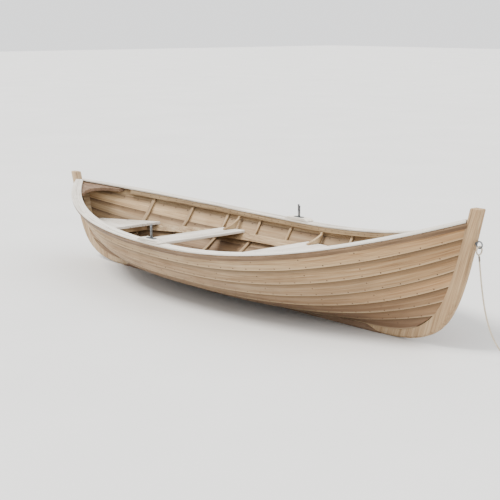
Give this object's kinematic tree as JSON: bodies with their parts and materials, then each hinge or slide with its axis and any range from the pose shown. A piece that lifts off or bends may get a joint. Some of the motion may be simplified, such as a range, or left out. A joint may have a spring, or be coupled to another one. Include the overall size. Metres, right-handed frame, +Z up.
{
  "type": "rowing boat",
  "caption": "Double-ended clinker wooden rowing boat with thwarts, stern bench, swivelling rowlocks, lift-out bottom boards and a painter.",
  "frame": {"origin": "on the ground under the middle of the boat, between the stem head and the sternpost head", "axes": "+X to the bow, +Y to port, +Z up"},
  "size_m": [4.7681, 1.4919, 0.87],
  "materials": {
    "planking": "weathered, oiled",
    "bleached_wood": "bleached, matt",
    "seat_wood": "bleached, matt",
    "rail_wood": "worn varnish",
    "backbone_wood": "weathered",
    "frame_wood": "weathered, oiled",
    "galvanised": "dull galvanised",
    "rope": "laid rope"
  },
  "bodies": {
    "hull": {"aft_thwart": "seat_wood", "bench_bearers": "frame_wood", "bow_breasthook": "frame_wood", "bow_thwart": "seat_wood", "centre_thwart": "seat_wood", "floor_timbers": "frame_wood", "garboard_port": "planking", "garboard_starboard": "planking", "gunwale_cap_port": "bleached_wood", "gunwale_cap_starboard": "bleached_wood", "hog": "frame_wood", "inwale_port": "rail_wood", "inwale_starboard": "rail_wood", "keel": "backbone_wood", "mooring_eye": "galvanised", "mooring_eye_nut": "galvanised", "painter": "rope", "painter_coil": "rope", "painter_splice": "rope", "rib_1": "frame_wood", "rib_10": "frame_wood", "rib_2": "frame_wood", "rib_3": "frame_wood", "rib_4": "frame_wood", "rib_5": "frame_wood", "rib_6": "frame_wood", "rib_7": "frame_wood", "rib_8": "frame_wood", "rib_9": "frame_wood", "riser_port": "frame_wood", "riser_starboard": "frame_wood", "rowlock_pads": "bleached_wood", "rowlock_sockets": "galvanised", "rub_rail_port": "rail_wood", "rub_rail_starboard": "rail_wood", "sheer_strake_port": "planking", "sheer_strake_starboard": "planking", "stem": "backbone_wood", "stem_apron": "frame_wood", "stern_apron": "frame_wood", "stern_bench": "seat_wood", "stern_breasthook": "frame_wood", "sternpost": "backbone_wood", "strake_2_port": "planking", "strake_2_starboard": "planking", "strake_3_port": "planking", "strake_3_starboard": "planking", "strake_4_port": "planking", "strake_4_starboard": "planking", "strake_5_port": "planking", "strake_5_starboard": "planking", "strake_6_port": "planking", "strake_6_starboard": "planking", "thwart_knees": "frame_wood"},
    "rowlock_port": {"rowlock_port": "galvanised"},
    "rowlock_starboard": {"rowlock_starboard": "galvanised"},
    "bottom_board_port": {"bottom_board_port": "frame_wood"},
    "bottom_board_centre": {"bottom_board_centre": "frame_wood"},
    "bottom_board_starboard": {"bottom_board_starboard": "frame_wood"},
    "drain_bung": {"drain_bung": "frame_wood"}
  },
  "joints": [
    {"name": "rowlock_port_swivel", "type": "hinge", "parent": "hull", "child": "rowlock_port", "pos_m": [-0.1099, 0.68, 0.476], "axis": [0, 0, 1], "continuous": true},
    {"name": "rowlock_starboard_swivel", "type": "hinge", "parent": "hull", "child": "rowlock_starboard", "pos_m": [-0.1099, -0.68, 0.476], "axis": [0, 0, 1], "continuous": true},
    {"name": "bottom_board_port_lift", "type": "slide", "parent": "hull", "child": "bottom_board_port", "axis": [0, 0, 1], "range_m": [0, 0.15]},
    {"name": "bottom_board_centre_lift", "type": "slide", "parent": "hull", "child": "bottom_board_centre", "axis": [0, 0, 1], "range_m": [0, 0.15]},
    {"name": "bottom_board_starboard_lift", "type": "slide", "parent": "hull", "child": "bottom_board_starboard", "axis": [0, 0, 1], "range_m": [0, 0.15]},
    {"name": "drain_bung_pull", "type": "slide", "parent": "hull", "child": "drain_bung", "axis": [0.0417, -0.3033, 0.952], "range_m": [0, 0.06]}
  ]
}
